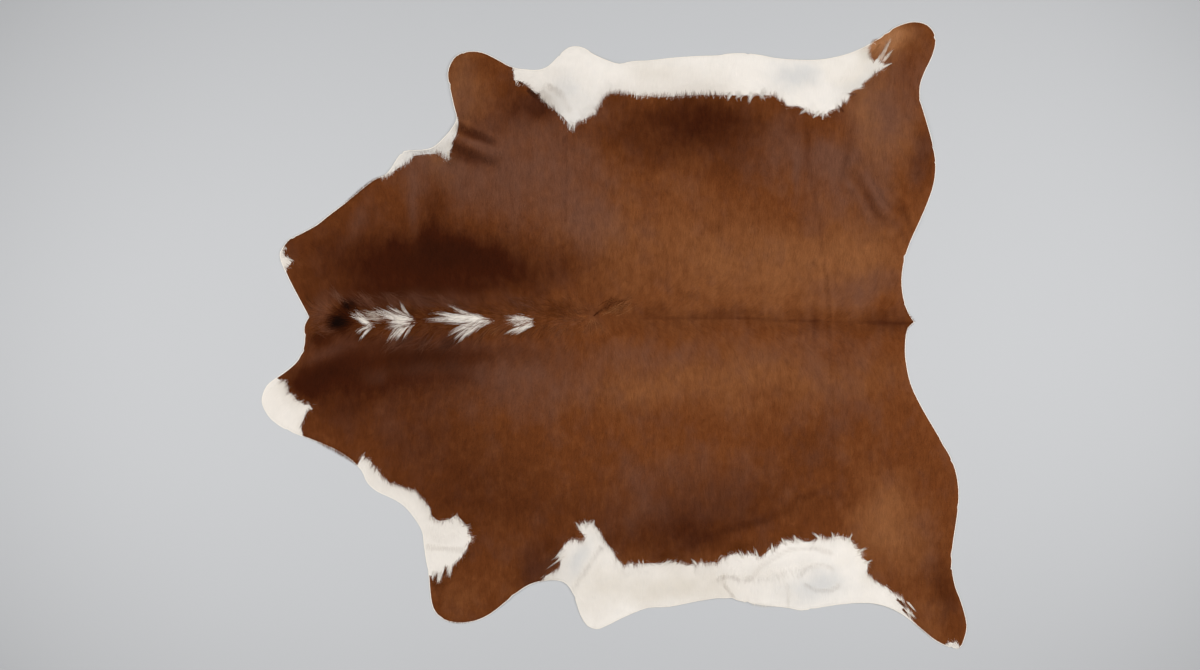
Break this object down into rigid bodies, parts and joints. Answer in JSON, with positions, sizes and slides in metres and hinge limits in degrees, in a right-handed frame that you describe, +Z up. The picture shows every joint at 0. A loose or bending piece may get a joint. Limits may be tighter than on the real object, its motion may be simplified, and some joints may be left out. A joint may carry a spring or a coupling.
{
  "type": "cowhide rug",
  "caption": "Flat rug of one whole natural cowhide, hair side up, with cheeks, neck, leg lobes, tail stub and white belly edges.",
  "frame": {"origin": "under the middle of the hide's bounding box, on the plane that the rug lies on", "axes": "+X from the neck to the tail, +Y towards the animal's right side, +Z up out of the hair side"},
  "size_m": [2.1562, 1.9162, 0.0145],
  "materials": {
    "hair_coat": "short laid cow hair on a tanned hide: glossy chestnut and dark brown streaks that follow the lie of the hair, ragged white belly edges, matt pale suede underneath"
  },
  "bodies": {
    "root": {"hide": "hair_coat"}
  },
  "joints": []
}
